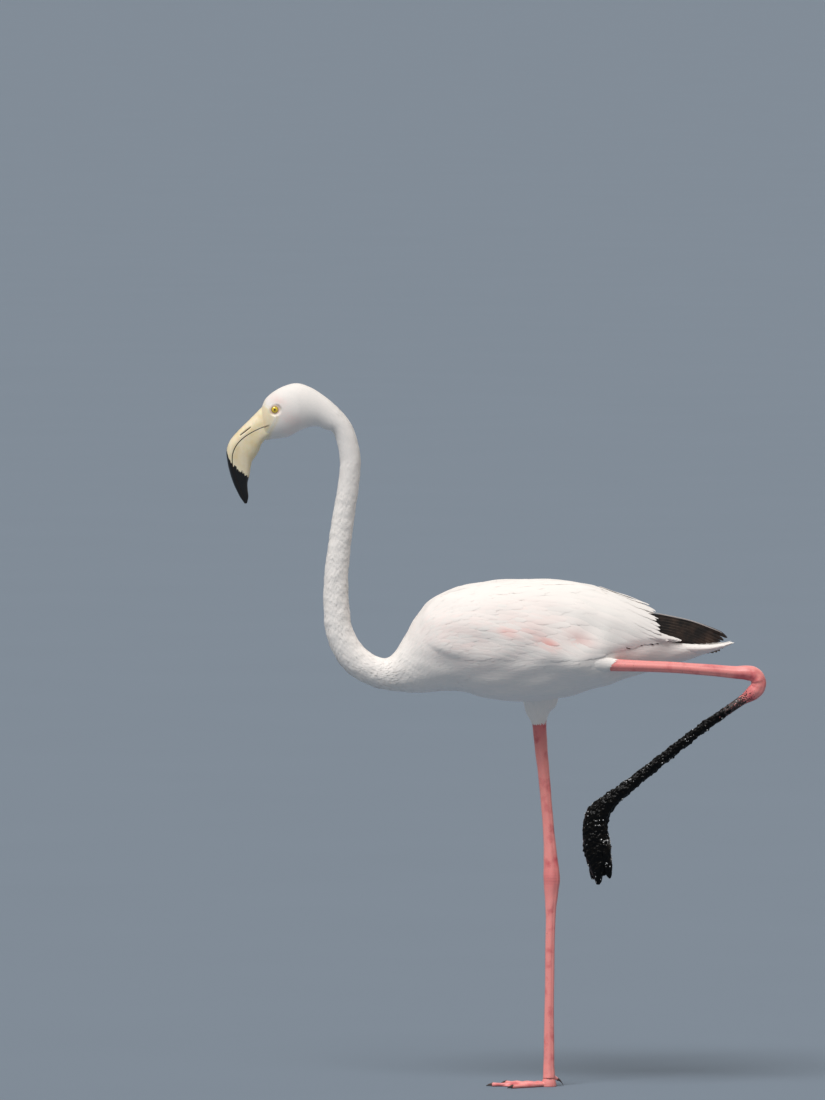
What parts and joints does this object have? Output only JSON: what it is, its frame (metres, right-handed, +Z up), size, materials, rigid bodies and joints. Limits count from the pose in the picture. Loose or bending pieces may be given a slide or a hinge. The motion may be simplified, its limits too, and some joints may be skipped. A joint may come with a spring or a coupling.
{
  "type": "greater flamingo",
  "caption": "Life-size flamingo standing on one leg, the other drawn up behind with a muddy foot, neck in an S and the bent bill pointing down; for display.",
  "frame": {"origin": "on the floor under the middle of the bird's bounding box", "axes": "+Z up; the bird faces -X and its left side faces -Y; X runs along the bird from bill to lifted hock"},
  "size_m": [0.7544, 0.158, 0.9869],
  "materials": {
    "plumage": "matte white body feathers with a faint pink flush",
    "wing_coverts": "matte white and pale pink covert feathers",
    "flight_feathers": "satin brownish black quill feathers",
    "leg_skin": "satin pink scaled skin",
    "wet_mud": "wet glossy black mud with grit",
    "bill_horn": "satin cream horn with a black tip",
    "claw_horn": "dark satin horn",
    "eye": "glossy pale yellow iris with a small black pupil"
  },
  "bodies": {
    "root": {"head": "plumage", "bill_upper": "bill_horn", "bill_lower": "bill_horn", "eye_left": "eye", "eye_right": "eye", "neck_1": "plumage", "neck_2": "plumage", "neck_3": "plumage", "neck_4": "plumage", "neck_5": "plumage", "trunk": "plumage", "wing_left": "wing_coverts", "wing_right": "wing_coverts", "tail": "plumage", "flight_left": "flight_feathers", "flight_right": "flight_feathers", "thigh_right": "plumage", "tibia_right": "leg_skin", "hock_right": "leg_skin", "tarsus_right": "leg_skin", "foot_right": "leg_skin", "claw_right_inner": "claw_horn", "claw_right_middle": "claw_horn", "claw_right_outer": "claw_horn", "claw_right_hind": "claw_horn", "thigh_left": "plumage", "tibia_left": "leg_skin", "hock_left": "leg_skin", "tarsus_left": "wet_mud", "foot_left": "wet_mud"}
  },
  "joints": []
}
